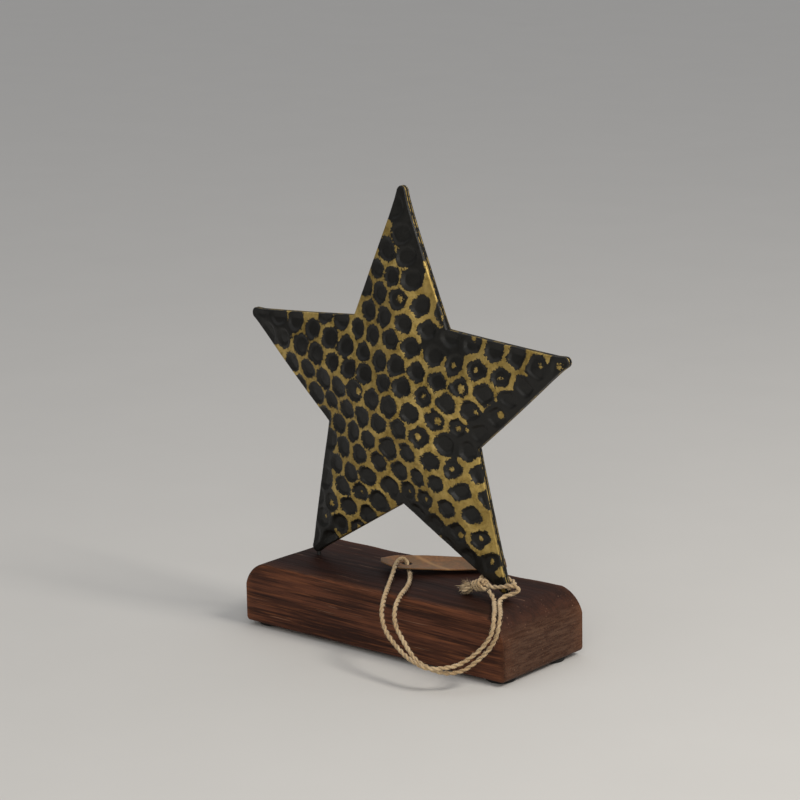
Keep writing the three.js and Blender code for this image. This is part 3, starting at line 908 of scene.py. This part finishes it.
class TROPHY_OT_star(bpy.types.Operator):
    """Build the two beaten shells of the star"""

    bl_idname = "trophy.star"
    bl_label = "Star"

    def execute(self, context):
        settings = context.scene.trophy_star
        material = enamelled_iron_brushed_gold(settings)
        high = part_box("star_front_shell")[1]
        height = high.z - settings.cut_radius
        for name, node, face in (("star_front", "star_front_shell", -1),
                                 ("star_back", "star_back_shell", 1)):
            self.shell(context, settings, material, height, name, node, face)
        return {"FINISHED"}

    def shell(self, context, settings, material, height, name, node, face):
        """One beaten shell, with what the material needs to know at each point."""
        shape = StarShape(settings, face)
        flat, faces, count = star_sheet(shape)
        x, z = flat[:, 0], flat[:, 1]
        wall, fleck = shape.walls(x, z)
        inside = shape.rim_distance(x, z)
        bare = shape.bareness(x, z)
        edge = np.clip(inside / 0.003, 0, 1)
        calm = soft_step(-np.hypot(x, z), -0.084, 0.003)
        lip, wall_slope = 0.0003, 0.0019  # where a hollow's side starts, and its width
        bowl = np.clip((wall + lip) / wall_slope, 0, 1)
        bowl = bowl * bowl * (3 - 2 * bowl)
        depth = settings.cell_depth * 0.9 * edge * (0.35 + 0.65 * calm)
        pip = 0.00025 * np.clip(fleck / 0.0010, 0, 1)
        wave = 0.0003 * np.sin(x * 210 + 1.3) * np.sin(z * 170 + 0.4)
        rim, roll = settings.rim / 2, 0.0005
        out = rim + shape.soft_rise(x, z) - bowl * depth + (pip + wave) * edge
        out = out - roll * (1 - np.sqrt(1 - (1 - np.clip(inside / roll, 0, 1)) ** 2))
        sweep = star_sweep(np.hypot(x, z), settings.point_radius)
        # The top tip and the arms are drawn up a little.
        longer = 0.0012 * np.clip((z - 0.082) / 0.010, 0, 1)
        longer = longer + 0.0011 * (x / 0.09) ** 2 * np.clip(z / 0.02, 0, 1)
        verts = np.stack([x, face * out + sweep, z + height + longer], axis=1)
        wall = np.maximum(wall, -0.0014)
        values = {"wall_distance": list(wall / MM), "gold_reach": list(-3.4 * bare),
                  "breaks": list(0.25 + 0.75 * bare), "fleck": list(fleck / MM)}
        # The rim turns back to the seam between the two shells, with a gold line at its fold.
        verts, faces = [tuple(v) for v in verts], list(faces)
        previous = len(verts) - count
        ring, back, lift = flat[previous:], sweep[previous:], longer[previous:]
        step = np.hypot(ring[:, 0], ring[:, 1])
        for depth_in, push, gilt in ((0.03, 0.00004, 0.6), (0.16, 0.0001, -0.7),
                                     (0.48, 0.0001, -0.6), (0.60, 0.0001, 1.5),
                                     (0.80, 0.0001, 3.0), (0.93, -0.0003, 3.0)):
            base = len(verts)
            for k in range(count):
                grow = 1 + push / step[k]
                y = face * (rim - roll) * (1 - depth_in) + back[k]
                verts.append((ring[k, 0] * grow, y, ring[k, 1] * grow + height + lift[k]))
                values["wall_distance"].append(gilt)
                values["gold_reach"].append(-0.1)
                values["breaks"].append(0.4)
                values["fleck"].append(-9.0)
            for k in range(count):
                j = (k + 1) % count
                faces.append((previous + k, base + k, base + j, previous + j))
            previous = base
        piece = finish_piece(context, name, verts, faces, material, [node],
                             values=values)
        soften_edges(piece, 50)


# ---------- Pins ----------

class TROPHY_OT_pins(bpy.types.Operator):
    """Build the two steel pins under the feet"""

    bl_idname = "trophy.pins"
    bl_label = "Pins"

    def execute(self, context):
        material = drawn_steel_wire()
        for node, side in (("left_leg_pin", -1), ("right_leg_pin", 1)):
            low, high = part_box(node)
            radius = (high.y - low.y) / 2
            outer = high.x - radius if side > 0 else low.x + radius
            inner = low.x + radius if side > 0 else high.x - radius
            top = Vector((inner, 0, high.z - radius * 0.6))
            lean = math.radians(54)
            down = Vector((side * math.cos(lean), 0, -math.sin(lean)))
            bend = top + down * ((outer - inner) / down.x)
            points = [top + (bend - top) * t for t in (0, 0.3, 0.6, 0.85)]
            points += [bend + Vector((-side * 0.0004, 0, 0.0004)), bend + Vector((0, 0, -0.003))]
            points += [Vector((bend.x, 0, low.z + (bend.z - 0.003 - low.z) * t))
                       for t in (0.66, 0.33, 0)]
            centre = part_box("star_front_shell")[1].z - context.scene.trophy_star.cut_radius
            reach = context.scene.trophy_star.point_radius
            path = smooth_route(points, 0.0008)
            path[:, 1] += star_sweep(np.hypot(path[:, 0], path[:, 2] - centre), reach)
            wire = Strands()
            wire.tube(path, radius * 0.95, 18)
            piece = wire.piece(context, node.replace("pin", "steel_pin"), material,
                               "pin_steel", [node])
            soften_edges(piece)
        return {"FINISHED"}


# ---------- The tag ----------

def tag_half_width(settings, u):
    """Half the card's width at a distance from its hole, with rounded shoulders."""
    start = -settings.hole_inset
    t = np.clip((u - start) / 0.0085, 0, 1)
    far = np.clip((settings.length - settings.hole_inset - u) / 0.004, 0, 1)
    rounded = 0.6 + 0.4 * np.sqrt(1 - (1 - far) ** 2)
    return settings.width / 2 * (0.30 + 0.70 * np.sin(t * math.pi / 2) ** 1.15) * rounded


class TROPHY_OT_tag(bpy.types.Operator):
    """Build the kraft card tag with its hole and its slight curl"""

    bl_idname = "trophy.tag"
    bl_label = "Tag"

    def execute(self, context):
        settings = context.scene.trophy_tag
        start, stop = -settings.hole_inset, settings.length - settings.hole_inset
        hole = settings.hole / 2
        columns, rows = 132, 44
        flat, gaps = [], []
        for i in range(columns + 1):
            u = start + (stop - start) * i / columns
            half = float(tag_half_width(settings, np.array(u)))
            for j in range(rows + 1):
                v = half * (2 * j / rows - 1)
                gap = math.hypot(u, v)
                # Points inside the hole slide out onto its edge.
                slide = hole / gap if 1e-9 < gap < hole else 1.0
                flat.append((u * slide, v * slide))
                gaps.append(gap)
        faces = []
        for i in range(columns):
            for j in range(rows):
                corner = i * (rows + 1) + j
                corners = [corner, corner + rows + 1, corner + rows + 2, corner + 1]
                if any(gaps[c] >= hole for c in corners):
                    faces.append(corners)
        head, tilt = settings.heading, settings.pitch
        along = Vector((math.cos(head) * math.cos(tilt), math.sin(head) * math.cos(tilt),
                        -math.sin(tilt)))
        across = Vector((-math.sin(head), math.cos(head), 0))
        place = Vector(settings.hole_place)
        verts, bend_highlight = [], []
        for u, v in flat:
            # The narrow end and the far end turn up, the middle sags and the sides curl.
            lift = 0.0016 * (max(-u, 0) / settings.hole_inset) ** 1.6
            lift -= 0.0007 * math.sin(min(max((u + 0.006) / 0.034, 0), 1) * math.pi) * (
                0.5 - v / settings.width)
            lift += 0.0009 * (2 * v / settings.width) ** 2 * math.exp(-((u - 0.006) / 0.016) ** 2)
            lift += 0.0005 * (max(u - 0.03, 0) / 0.0135) ** 2
            point = place + along * u + across * v + Vector((0, 0, lift - 0.00025))
            verts.append(tuple(point))
            # Painted highlight: a pale diagonal streak along a bend of the card.
            from_fold = u - 0.0112 + 0.721 * v
            bend_highlight.append(math.exp(-(from_fold / 0.0013) ** 2) * 0.5)
        piece = finish_piece(context, "kraft_tag", verts, faces, pulped_kraft_card(settings),
                             ["paper_tag"], values={"bend_highlight": bend_highlight})
        merge_points(piece, 2e-5)
        card = piece.modifiers.new("card", "SOLIDIFY")
        card.thickness = 0.0005
        card.offset = 0
        context.scene.trophy_made_tag = piece.name
        return {"FINISHED"}


# ---------- The string ----------

class TROPHY_OT_string(bpy.types.Operator):
    """Build the jute string, its knot, its turn round the leg and its frayed ends"""

    bl_idname = "trophy.string"
    bl_label = "String"

    # Loose fibres along the string, on the knot, in the brush and standing up from it.
    string_hairs, knot_hairs, brush_hairs, upright_hairs = 950, 110, 420, 16
    step = 0.00045  # between the points of a smoothed route

    def execute(self, context):
        settings = context.scene.trophy_string
        material = natural_jute(settings)
        diameter, lay = settings.diameter, settings.lay_length
        rng = random.Random(21)
        path = smooth_route(STRING_ROUTE, self.step)
        # The string's thickness wanders a little, from one thick or thin place to the next.
        places = len(path) // 9 + 2
        wave = np.random.default_rng(3).normal(0, 1, (places, 3))[:, 0]
        swell = 1 + 0.05 * np.interp(np.arange(len(path)) / 9, np.arange(places), wave)
        loop = Strands()
        loop.two_ply(path, diameter, lay, swell=swell)
        loop_piece = loop.piece(context, "jute_string", material, "jute", ["twine_loop"])
        wrap = Strands()
        wrap.two_ply(smooth_route(WRAP_ROUTE, self.step), diameter, lay, start=1.1)
        wrap_piece = wrap.piece(context, "jute_leg_turn", material, "jute", ["twine_leg_wrap"])
        knot_piece = self.knot(context, material, diameter, lay)
        tuft_piece = self.tuft(context, material, rng)
        hairs = Strands()
        side, other = carried_frames(path)
        for _ in range(self.string_hairs):
            i = rng.randrange(3, len(path) - 3)
            angle = rng.uniform(0, 2 * math.pi)
            out = side[i] * math.cos(angle) + other[i] * math.sin(angle)
            ahead = unit((path[i + 2] - path[i - 2]) * rng.choice((-1, 1)))
            length = rng.uniform(0.0005, 0.0016)
            hairs.hair(path[i] + out * diameter * 0.40, out * 0.7 + ahead, length, 0.0,
                       rng.uniform(0.000025, 0.00005), rng)
        hair_piece = hairs.piece(context, "jute_loose_hairs", material, "jute", [])
        return {"FINISHED"}

    def knot(self, context, material, diameter, lay):
        """The knot, as turns of string wound round three short cores."""
        first, last = (np.array(p) + np.array([0, 0, -0.0005]) for p in KNOT_ENDS)
        axis = last - first
        size = np.linalg.norm(axis)
        axis /= size
        up = unit(np.array([0.0, 0.0, 1.0]) - axis * axis[2])
        side = np.cross(axis, up)
        turns = []
        for t in np.linspace(0, 1, 91):
            a = 2 * math.pi * 3.6 * t - 1.2
            radius = 0.00225 * (1 + 0.10 * math.sin(7 * t)) * (0.7 + 0.3 * math.sin(math.pi * t))
            lean = 0.0008 * math.cos(a)
            turns.append(first + axis * (size * (-0.06 + 0.92 * t) + lean)
                         + up * radius * math.cos(a) + side * radius * math.sin(a))
        coil = Strands()
        coil.two_ply(np.array(turns), diameter * 0.95, lay, start=0.4)
        for shift in (0.0011, -0.0011, 0.0):
            core = [first + side * shift + up * 0.0002, first + axis * size * 0.5 - side * shift,
                    last + side * shift * 1.2 - up * 0.0002]
            coil.two_ply(smooth_route(core, 0.0004), diameter * 0.9, lay)
        rng = random.Random(4)
        for _ in range(self.knot_hairs):
            t, a = rng.random(), rng.uniform(0, 2 * math.pi)
            out = up * math.cos(a) + side * math.sin(a)
            coil.hair(first + axis * size * t + out * 0.0018, out + axis * rng.uniform(-1, 1),
                      rng.uniform(0.0004, 0.0015), 0.0, 0.00004, rng)
        return coil.piece(context, "jute_knot", material, "jute", ["twine_knot"])

    def tuft(self, context, material, rng):
        """The frayed ends, spread like a brush past the knot and lying on the block."""
        start = np.array(KNOT_ENDS[1])
        axis = np.array(TUFT_END) - start
        size = np.linalg.norm(axis)
        axis /= size
        up = unit(np.array([0.0, 0.0, 1.0]) - axis * axis[2])
        side = np.cross(axis, up)
        brush = Strands()
        for shift in ((0.0009, 0.0002), (-0.0010, -0.0003), (0.0, 0.0009), (0.0001, -0.0009)):
            end = start + axis * size * 0.8 + side * shift[0] * 2 + up * shift[1] * 2
            line = smooth_route([start - axis * 0.0006, start + (end - start) * 0.5
                                 + side * shift[0], end], 0.0004)
            brush.two_ply(line, 0.0014, 0.006, start=rng.uniform(0, 6),
                          swell=np.linspace(1, 1.15, len(line)))
        for _ in range(self.brush_hairs):
            a, spread = rng.uniform(0, 2 * math.pi), rng.uniform(0.1, 0.75)
            out = side * math.cos(a) + up * math.sin(a)
            base = start + axis * size * rng.uniform(0.05, 0.7) + out * rng.uniform(0.0002, 0.0018)
            brush.hair(base, axis + out * spread, rng.uniform(0.0012, 0.0032), 0.1,
                       rng.uniform(0.00007, 0.00018), rng)
        for _ in range(self.upright_hairs):
            base = start + axis * size * rng.uniform(0.15, 0.6) + up * 0.0011
            brush.hair(base, up + side * rng.uniform(-0.6, 0.6) + axis * rng.uniform(-0.1, 0.6),
                       rng.uniform(0.0018, 0.0034), 0.0, 0.00007, rng)
        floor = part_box("wood_block")[1].z + 0.00002
        brush.verts = [np.array([v[0], v[1], max(v[2], floor)]) for v in brush.verts]
        return brush.piece(context, "jute_frayed_ends", material, "jute", ["twine_frayed_ends"])


# ---------- Floor, lights and camera ----------

def soft_light(context, name, place, target, size, power, tint):
    """A large soft square light that looks at a point."""
    data = bpy.data.lights.new(name, "AREA")
    data.shape, data.size, data.energy = "SQUARE", size, power
    data.color = linear(tint)[:3]
    lamp = bpy.data.objects.new(name, data)
    context.scene.collection.objects.link(lamp)
    lamp.location = place
    lamp.rotation_euler = (Vector(target) - Vector(place)).to_track_quat("-Z", "Y").to_euler()


class TROPHY_OT_stage(bpy.types.Operator):
    """Lay the pale floor, set the soft lights and aim the camera"""

    bl_idname = "trophy.stage"
    bl_label = "Stage"

    def execute(self, context):
        settings = context.scene.trophy_stage
        mesh = bpy.data.meshes.new("pale_floor")
        board = bmesh.new()
        bmesh.ops.create_grid(board, x_segments=40, y_segments=40, size=9.0)
        board.to_mesh(mesh)
        board.free()
        mesh.materials.append(matt_studio_floor(settings))
        floor = bpy.data.objects.new("pale_floor", mesh)
        context.scene.collection.objects.link(floor)

        # A bright ceiling that fades to dim walls.
        world = bpy.data.worlds.new("soft_room")
        world.use_nodes = True
        tree = world.node_tree
        sky = tree.nodes["Background"]
        height = add(tree, "ShaderNodeSeparateXYZ", {
            "Vector": add(tree, "ShaderNodeTexCoord").outputs["Generated"]}).outputs["Z"]
        light = ramp(tree, height, 0.05, 0.95, settings.wall_light, settings.ceiling_light)
        tree.links.new(light, sky.inputs["Strength"])
        sky.inputs["Color"].default_value = linear("f6f7fa")
        context.scene.world = world
        soft_light(context, "key_overhead", (0.93, 0.08, 1.00), (0, 0, 0.06), 0.34, 9.2, "fffaf2")
        soft_light(context, "fill_right", (0.95, -1.3, 0.7), (0, 0, 0.1), 0.9, 9.0, "fffcf6")

        azimuth, elevation = settings.azimuth, settings.elevation
        back = Vector((math.sin(azimuth) * math.cos(elevation),
                       -math.cos(azimuth) * math.cos(elevation), math.sin(elevation)))
        right = Vector((math.cos(azimuth), math.sin(azimuth), 0))
        up = back.cross(right)
        # It looks at about the star's middle and leans by about a degree.
        target = Vector((0, 0, 0.09)) + right * -0.00209 + up * 0.01964
        data = bpy.data.cameras.new("camera")
        data.lens, data.sensor_width = settings.lens, 36.0
        data.clip_start, data.clip_end = 0.05, 20.0
        camera = bpy.data.objects.new("camera", data)
        context.scene.collection.objects.link(camera)
        camera.location = target + back * settings.distance
        roll = math.radians(-1.08)
        x_axis = right * math.cos(roll) + up * math.sin(roll)
        y_axis = up * math.cos(roll) - right * math.sin(roll)
        camera.rotation_mode = "QUATERNION"
        camera.rotation_quaternion = Matrix((x_axis, y_axis, back)).transposed().to_quaternion()
        context.scene.camera = camera
        context.scene.view_settings.view_transform = "Standard"
        return {"FINISHED"}


# ---------- Panel and registration ----------

class TROPHY_PT_panel(bpy.types.Panel):
    """Lists the trophy's sizes and build steps"""

    bl_idname = "TROPHY_PT_panel"
    bl_label = "Star trophy"
    bl_space_type = "VIEW_3D"
    bl_region_type = "UI"
    bl_category = "Trophy"

    def draw(self, context):
        for title, group, operators in STEPS:
            box = self.layout.box()
            box.label(text=title)
            if group:
                settings = getattr(context.scene, group)
                for key in settings.__annotations__:
                    box.prop(settings, key)
            for operator in operators:
                box.operator(operator.bl_idname)


STEPS = (
    ("Floor, lights and camera", "trophy_stage", (TROPHY_OT_stage,)),
    ("Block and pads", "trophy_block", (TROPHY_OT_block, TROPHY_OT_pads)),
    ("Star and pins", "trophy_star", (TROPHY_OT_star, TROPHY_OT_pins)),
    ("Tag", "trophy_tag", (TROPHY_OT_tag,)),
    ("String", "trophy_string", (TROPHY_OT_string,)),
)
GROUPS = {
    "trophy_block": TrophyBlockSettings,
    "trophy_star": TrophyStarSettings,
    "trophy_tag": TrophyTagSettings,
    "trophy_string": TrophyStringSettings,
    "trophy_stage": TrophyStageSettings,
}


def register():
    for name, group in GROUPS.items():
        bpy.utils.register_class(group)
        setattr(bpy.types.Scene, name, bpy.props.PointerProperty(type=group))
    bpy.types.Scene.trophy_made_tag = bpy.props.StringProperty(
        name="Tag piece", description="Name of the finished tag", default="")
    for _, _, operators in STEPS:
        for operator in operators:
            bpy.utils.register_class(operator)
    bpy.utils.register_class(TROPHY_PT_panel)


def unregister():
    bpy.utils.unregister_class(TROPHY_PT_panel)
    for _, _, operators in STEPS:
        for operator in operators:
            bpy.utils.unregister_class(operator)
    del bpy.types.Scene.trophy_made_tag
    for name, group in GROUPS.items():
        delattr(bpy.types.Scene, name)
        bpy.utils.unregister_class(group)


def main():
    register()
    bpy.ops.trophy.stage()
    bpy.ops.trophy.block()
    bpy.ops.trophy.pads()
    bpy.ops.trophy.star()
    bpy.ops.trophy.pins()
    bpy.ops.trophy.tag()
    bpy.ops.trophy.string()


if __name__ == "__main__":
    main()
